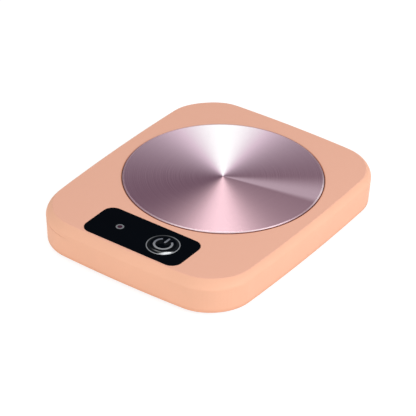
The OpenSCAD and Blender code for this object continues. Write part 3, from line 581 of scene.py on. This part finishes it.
def bow_walls(points):
    """Moves the points of the outer walls square to the solids' outline, onto the bowed one.

    Also gives each point's weight: 1 on the walls, and falling to 0 within them.
    """
    curve_x, curve_y = bowed_quarter()
    sign = np.where(points[:, :2] < 0, -1.0, 1.0)
    x, y = np.abs(points[:, 0]), np.abs(points[:, 1])
    core_x, core_y = HALF_W - CAD_CORNER, HALF_D - CAD_CORNER
    out_x, out_y = np.maximum(x - core_x, 0), np.maximum(y - core_y, 0)
    reach = np.hypot(out_x, out_y)
    turn = np.arctan2(out_y, out_x)
    # how far the bowed outline is from the core's edge, beside, behind or round the corner
    beside = np.interp(y, curve_y, curve_x) - core_x
    behind = np.interp(x, curve_x[::-1], curve_y[::-1]) - core_y
    round_corner = np.interp(turn, np.arctan2(curve_y - core_y, curve_x - core_x),
                             np.hypot(curve_x - core_x, curve_y - core_y))
    target = np.where(out_y == 0, beside, np.where(out_x == 0, behind, round_corner))
    rear_left = (points[:, 0] < 0) & (points[:, 1] > 0)
    hump = np.clip(1 - ((turn - MORE_AT) / MORE_WIDE) ** 2, 0, 1) ** 2
    target = target - MORE_BOW * rear_left * hump
    fall = np.clip((DRAFT_FROM - points[:, 2]) / (DRAFT_FROM - UNDERSIDE), 0, 1)
    target = target - DRAFT * fall
    depth = CAD_CORNER - reach  # in from the plain outline
    on_top = np.abs(points[:, 2] - TOP_FACE) < CLOSE
    top_weight = np.clip((TOP_BAND - depth) / (TOP_BAND - CAD_EDGE), 0, 1)
    wall_weight = np.clip((BAND + FADE - depth) / FADE, 0, 1)
    weight = np.where(on_top, top_weight, wall_weight) * (reach > 0)
    safe_reach = np.maximum(reach, MM)  # never 0, to divide by
    facing = sign * np.stack([out_x, out_y], axis=1) / safe_reach[:, None]
    far = (REAR_EDGE + (SIDE_EDGE - REAR_EDGE) * np.maximum(facing[:, 0], 0)
           + (FRONT_EDGE - REAR_EDGE) * np.maximum(-facing[:, 1], 0))
    extra, height = break_edge(depth, points[:, 2], far, on_top)
    move = (target - CAD_CORNER - extra) * weight / safe_reach
    moved = points.copy()
    moved[:, 0] += sign[:, 0] * out_x * move
    moved[:, 1] += sign[:, 1] * out_y * move
    moved[:, 2] = height
    return moved, weight


def break_edge(depth, height, far, on_top):
    """Turns the round top edge into one that starts with a crease and rolls over to the wall.

    Gives how much further in each point goes, and its height.
    """
    rise, out = height - (TOP_FACE - CAD_EDGE), CAD_EDGE - depth
    turned = np.clip(np.arctan2(rise, out), 0, math.pi / 2)
    on_edge = np.abs(np.hypot(rise, out) - CAD_EDGE) < ON_ROUND
    on_edge &= (rise > -CLOSE) & (out > -0.1 * MM)
    t = 1 - turned / (math.pi / 2)
    # a quadratic curve: from the crease along the slope, and then down the wall
    new_depth = far * (1 - t) ** 2
    new_height = TOP_FACE - 2 * t * (1 - t) * far * EDGE_SLOPE - t ** 2 * EDGE_DROP
    extra = np.where(on_edge, new_depth - depth, np.where(on_top, far - CAD_EDGE, 0))
    return extra, np.where(on_edge, new_height, height)


def close_seam(points, weight):
    """Closes the parting line except round one corner, towards which it rises a little."""
    on_wall = weight > 0.9
    high = (np.abs(points[:, 2] - SEAM_HIGH) < ON_SEAM) & on_wall
    low = (np.abs(points[:, 2] - SEAM_LOW) < ON_SEAM) & on_wall
    away = np.hypot(points[:, 0] - OPEN_CORNER.x, points[:, 1] - OPEN_CORNER.y) / OPEN_REACH
    shut = np.clip((away - OPEN_SHARE) / (1 - OPEN_SHARE), 0, 1)
    gap = OPEN_GAP + (CLOSED_GAP - OPEN_GAP) * shut
    rise = SEAM_RISE * np.clip(1 - away, 0, 1) ** 2
    points[high, 2] = (SEAM_LOW + gap + rise)[high]
    points[low, 2] += rise[low]


def bevel_opening(mesh):
    """Takes the sharp edge off the control panel's opening in the top face."""
    edges = []
    for edge in mesh.edges:
        on_top = all(abs(v.co.z - TOP_FACE) < CLOSE for v in edge.verts)
        at_plate = (edge.verts[0].co - PLATE).xy.length < PLATE_R + MM
        square = edge.calc_face_angle(0) > math.radians(80)
        if on_top and square and not at_plate:
            edges.append(edge)
    if edges:
        bmesh.ops.bevel(mesh, geom=edges, offset=RIM_BEVEL, segments=2, profile=0.5, affect="EDGES")


def housing_shell(node):
    """A copy of a housing whose outer walls follow the bowed outline."""
    mesh = welded(node)
    bmesh.ops.dissolve_limit(mesh, angle_limit=math.radians(0.2), verts=mesh.verts, edges=mesh.edges)
    bevel_opening(mesh)
    for axis, half in ((0, HALF_W), (1, HALF_D)):
        steps = int(2 * half / CUT_EVERY)
        for i in range(1, steps):
            at, across = Vector(), Vector()
            at[axis] = -half + 2 * half * i / steps
            across[axis] = 1
            bmesh.ops.bisect_plane(mesh, geom=mesh.verts[:] + mesh.edges[:] + mesh.faces[:],
                                   dist=WELD, plane_co=at, plane_no=across)
    points, weight = bow_walls(np.array([v.co for v in mesh.verts]))
    close_seam(points, weight)
    faces = [[v.index for v in f.verts] for f in mesh.faces]
    mesh.free()
    data = bpy.data.meshes.new(node + "_shell")
    data.from_pydata(points.tolist(), [], faces)
    shell = smooth_piece(node + "_shell", data, "housing_plastic", sharp=24)
    weighted = shell.modifiers.new("flat_faces_stay_flat", "WEIGHTED_NORMAL")
    weighted.keep_sharp = True
    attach(shell, "housing")
    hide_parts(node)


for housing in ("top_housing", "bottom_housing"):
    housing_shell(housing)

# ---- the hot plate, with a wider bevel round its top than the solid's ----


def bevelled_plate():
    """A copy of the hot plate whose top ends further in, so that its bevel is wider."""
    mesh = welded("hot_plate")
    top = max(v.co.z for v in mesh.verts)
    for v in mesh.verts:
        out = (v.co - PLATE).xy
        if v.co.z > top - CLOSE and out.length > PLATE_R - MM:
            v.co.xy = PLATE.xy + out * ((PLATE_R - PLATE_BEVEL) / out.length)
    data = bpy.data.meshes.new("spun_plate")
    mesh.to_mesh(data)
    mesh.free()
    plate = smooth_piece("spun_plate", data, "spun_metal", sharp=12)
    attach(plate, "housing")
    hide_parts("hot_plate")


bevelled_plate()

# ---- the button's cap, with its edge rounded smooth ----


def smooth_cap():
    """A copy of the cap, with one smooth surface over its rounded bevel."""
    mesh = welded("power_button")
    data = bpy.data.meshes.new("button_cap")
    mesh.to_mesh(data)
    mesh.free()
    cap = smooth_piece("button_cap", data, "cap_black", sharp=35)
    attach(cap, "power_button")
    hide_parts("power_button")


smooth_cap()

# ---- floor, world and lamps ----

WHITE = (1, 1, 1)
SEEN = ("Is Camera Ray", "Is Glossy Ray", "Is Transmission Ray")
WORLD_LEVEL = 0.5  # of the light that the world throws; it is seen as plain white
FLOOR_SIZE = 6.0
FLOOR_GREY = 0.8  # the floor's colour as far as it lights the object
# the floor is seen as a darker one that glows, so that only a faint shadow shows on near white
SHOWN_GREY, SHOWN_GLOW = 0.3, 0.84
LAMP_DISTANCE = 0.8


def seen_directly(tree):
    """1 for a ray that shows the background: from the camera, a reflection or glass."""
    rays = tree.nodes.new("ShaderNodeLightPath")
    total = rays.outputs[SEEN[0]]
    for output in SEEN[1:]:
        node = tree.nodes.new("ShaderNodeMath")
        node.operation = "MAXIMUM"
        tree.links.new(total, node.inputs[0])
        tree.links.new(rays.outputs[output], node.inputs[1])
        total = node.outputs[0]
    return total


def make_world():
    """White where it is seen, and an even light of half that level."""
    world = bpy.data.worlds.new("studio")
    bpy.context.scene.world = world
    world.use_nodes = True
    tree = world.node_tree
    background = tree.nodes["Background"]
    background.inputs["Color"].default_value = (*WHITE, 1)
    level = tree.nodes.new("ShaderNodeMapRange")
    level.inputs["To Min"].default_value = WORLD_LEVEL
    level.inputs["To Max"].default_value = 1.0
    tree.links.new(seen_directly(tree), level.inputs["Value"])
    tree.links.new(level.outputs[0], background.inputs["Strength"])


def make_floor():
    """A white floor that looks flat and bright, with a soft shadow under the object."""
    data = bpy.data.meshes.new("floor")
    half = FLOOR_SIZE / 2
    corners = [(-half, -half, 0), (half, -half, 0), (half, half, 0), (-half, half, 0)]
    data.from_pydata(corners, [], [(0, 1, 2, 3)])
    floor = bpy.data.objects.new("floor", data)
    bpy.context.scene.collection.objects.link(floor)
    material = bpy.data.materials.new("white_floor")
    material.use_nodes = True
    tree = material.node_tree
    tree.nodes.clear()
    output = tree.nodes.new("ShaderNodeOutputMaterial")
    plain_floor, shown_floor = (tree.nodes.new("ShaderNodeBsdfDiffuse") for _ in range(2))
    plain_floor.inputs["Color"].default_value = (FLOOR_GREY, FLOOR_GREY, FLOOR_GREY, 1)
    shown_floor.inputs["Color"].default_value = (SHOWN_GREY, SHOWN_GREY, SHOWN_GREY, 1)
    glow = tree.nodes.new("ShaderNodeEmission")
    glow.inputs["Strength"].default_value = SHOWN_GLOW
    both = tree.nodes.new("ShaderNodeAddShader")
    pick = tree.nodes.new("ShaderNodeMixShader")
    tree.links.new(shown_floor.outputs[0], both.inputs[0])
    tree.links.new(glow.outputs[0], both.inputs[1])
    tree.links.new(seen_directly(tree), pick.inputs[0])
    tree.links.new(plain_floor.outputs[0], pick.inputs[1])
    tree.links.new(both.outputs[0], pick.inputs[2])
    tree.links.new(pick.outputs[0], output.inputs[0])
    data.materials.append(material)


def away(azimuth, elevation):
    """The direction from the object towards a camera or lamp; azimuth 0 is in front of it."""
    a, e = math.radians(azimuth), math.radians(elevation)
    return Vector((math.sin(a) * math.cos(e), -math.cos(a) * math.cos(e), math.sin(e)))


def softbox(name, azimuth, elevation, width, height, level, gloss_only=False, colour=WHITE):
    """A soft lamp that looks as bright as a white surface lit to that level; sizes in metres."""
    lamp = bpy.data.lights.new(name, "AREA")
    lamp.shape = "RECTANGLE"
    lamp.size, lamp.size_y = width, height
    lamp.energy = level * math.pi * width * height
    lamp.color = colour
    holder = bpy.data.objects.new(name, lamp)
    direction = away(azimuth, elevation)
    holder.location = PLATE + direction * LAMP_DISTANCE
    holder.rotation_euler = direction.to_track_quat("Z", "Y").to_euler()
    holder.visible_camera = False
    holder.visible_diffuse = not gloss_only
    bpy.context.scene.collection.objects.link(holder)


make_world()
make_floor()
softbox("right_lamp", 98, 29, 0.5, 0.5, 5.1)
softbox("front_lamp", -5, 12, 0.6, 0.6, 2.62, colour=(1, 0.97, 0.92))
softbox("left_lamp", -80, 25, 0.5, 0.5, 0.6)
softbox("back_card", 215, 60, 0.16, 0.16, 3.0, gloss_only=True)

# ---- camera ----

AZIMUTH, ELEVATION, ROLL = 34.913, 33.341, 1.383  # degrees
CAMERA_DISTANCE = 1099.4 * MM
TARGET = Vector((9.048, -14.777, 17.0)) * MM
FOCAL_SHARE = 2513.4 / 416  # focal length as a share of the frame's width


def make_camera():
    data = bpy.data.cameras.new("camera")
    data.sensor_width = 36
    data.lens = FOCAL_SHARE * data.sensor_width
    data.clip_start, data.clip_end = 0.05, 50
    camera = bpy.data.objects.new("camera", data)
    back = away(AZIMUTH, ELEVATION)
    turn = math.radians(AZIMUTH)
    right = Vector((math.cos(turn), math.sin(turn), 0))
    up = back.cross(right)
    roll = math.radians(ROLL)
    right, up = (right * math.cos(roll) + up * math.sin(roll),
                 up * math.cos(roll) - right * math.sin(roll))
    camera.matrix_world = (Matrix.Translation(TARGET + back * CAMERA_DISTANCE)
                           @ Matrix((right, up, back)).transposed().to_4x4())
    bpy.context.scene.collection.objects.link(camera)
    bpy.context.scene.camera = camera


make_camera()
bpy.context.scene.view_settings.view_transform = "Standard"
